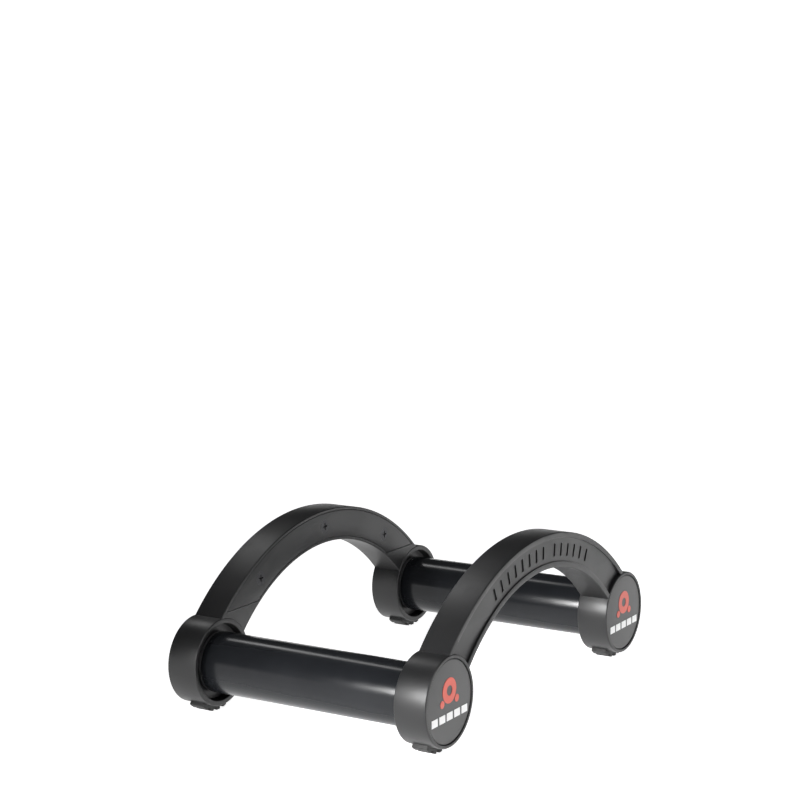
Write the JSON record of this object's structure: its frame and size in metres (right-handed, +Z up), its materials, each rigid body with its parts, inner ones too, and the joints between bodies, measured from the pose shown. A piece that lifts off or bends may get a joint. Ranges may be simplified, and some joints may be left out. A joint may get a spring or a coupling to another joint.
{
  "type": "spool holder stand",
  "caption": "Low desk stand with two arched side frames joined by two free-running ball-bearing rollers that carry and turn a filament spool.",
  "frame": {"origin": "on the table, under the middle of the stand", "axes": "+X from the left roller to the right roller, +Y along the rollers from the front frame to the rear frame, +Z up"},
  "size_m": [0.15, 0.0976, 0.0557],
  "materials": {
    "frame_black": "satin black moulded ABS with a fine texture",
    "cap_grey": "satin charcoal moulded ABS",
    "print_red": "red-orange foil print",
    "print_white": "white foil print",
    "foot_rubber": "soft black rubber with tread bars",
    "roller_black": "smooth semi-gloss black tube",
    "plug_black": "black moulded nylon",
    "screw_black": "black-oxide steel screws",
    "zinc_steel": "zinc-plated steel fasteners",
    "axle_steel": "bright drawn steel",
    "bearing_steel": "ground bearing steel",
    "shield_steel": "pressed steel shields",
    "cage_brass": "brass ball cage",
    "spacer_brass": "turned brass spacers"
  },
  "bodies": {
    "stand": {"front_side_frame": "frame_black", "rear_side_frame": "frame_black", "front_inner_cover": "frame_black", "rear_inner_cover": "frame_black", "front_cover_screws": "screw_black", "rear_cover_screws": "screw_black", "front_left_cap": "cap_grey", "front_right_cap": "cap_grey", "rear_left_cap": "cap_grey", "rear_right_cap": "cap_grey", "cap_emblems": "print_red", "cap_dashes": "print_white", "front_left_foot": "foot_rubber", "front_right_foot": "foot_rubber", "rear_left_foot": "foot_rubber", "rear_right_foot": "foot_rubber", "left_axle": "axle_steel", "right_axle": "axle_steel", "left_distance_tube": "axle_steel", "right_distance_tube": "axle_steel", "axle_nuts": "zinc_steel", "axle_washers": "zinc_steel", "bearing_spacers": "spacer_brass", "front_left_inner_race": "bearing_steel", "front_right_inner_race": "bearing_steel", "rear_left_inner_race": "bearing_steel", "rear_right_inner_race": "bearing_steel"},
    "left_roller": {"left_roller_tube": "roller_black", "front_left_end_plug": "plug_black", "front_left_outer_race": "bearing_steel", "front_left_shields": "shield_steel", "rear_left_end_plug": "plug_black", "rear_left_outer_race": "bearing_steel", "rear_left_shields": "shield_steel"},
    "right_roller": {"right_roller_tube": "roller_black", "front_right_end_plug": "plug_black", "front_right_outer_race": "bearing_steel", "front_right_shields": "shield_steel", "rear_right_end_plug": "plug_black", "rear_right_outer_race": "bearing_steel", "rear_right_shields": "shield_steel"},
    "front_left_ball_set": {"front_left_ball_cage": "cage_brass", "front_left_balls": "bearing_steel"},
    "front_right_ball_set": {"front_right_ball_cage": "cage_brass", "front_right_balls": "bearing_steel"},
    "rear_left_ball_set": {"rear_left_ball_cage": "cage_brass", "rear_left_balls": "bearing_steel"},
    "rear_right_ball_set": {"rear_right_ball_cage": "cage_brass", "rear_right_balls": "bearing_steel"}
  },
  "joints": [
    {"name": "left_roller_spin", "type": "hinge", "parent": "stand", "child": "left_roller", "pos_m": [-0.0606, 0, 0.0164], "axis": [0, 1, 0], "continuous": true},
    {"name": "right_roller_spin", "type": "hinge", "parent": "stand", "child": "right_roller", "pos_m": [0.0606, 0, 0.0164], "axis": [0, 1, 0], "continuous": true},
    {"name": "front_left_ball_orbit", "type": "hinge", "parent": "stand", "child": "front_left_ball_set", "pos_m": [-0.0606, 0, 0.0164], "axis": [0, 1, 0], "continuous": true},
    {"name": "front_right_ball_orbit", "type": "hinge", "parent": "stand", "child": "front_right_ball_set", "pos_m": [0.0606, 0, 0.0164], "axis": [0, 1, 0], "continuous": true},
    {"name": "rear_left_ball_orbit", "type": "hinge", "parent": "stand", "child": "rear_left_ball_set", "pos_m": [-0.0606, 0, 0.0164], "axis": [0, 1, 0], "continuous": true},
    {"name": "rear_right_ball_orbit", "type": "hinge", "parent": "stand", "child": "rear_right_ball_set", "pos_m": [0.0606, 0, 0.0164], "axis": [0, 1, 0], "continuous": true}
  ],
  "couplings": [
    {"joint": "front_left_ball_orbit", "follows": "left_roller_spin", "ratio": 0.6295},
    {"joint": "front_right_ball_orbit", "follows": "right_roller_spin", "ratio": 0.6295},
    {"joint": "rear_left_ball_orbit", "follows": "left_roller_spin", "ratio": 0.6295},
    {"joint": "rear_right_ball_orbit", "follows": "right_roller_spin", "ratio": 0.6295}
  ]
}
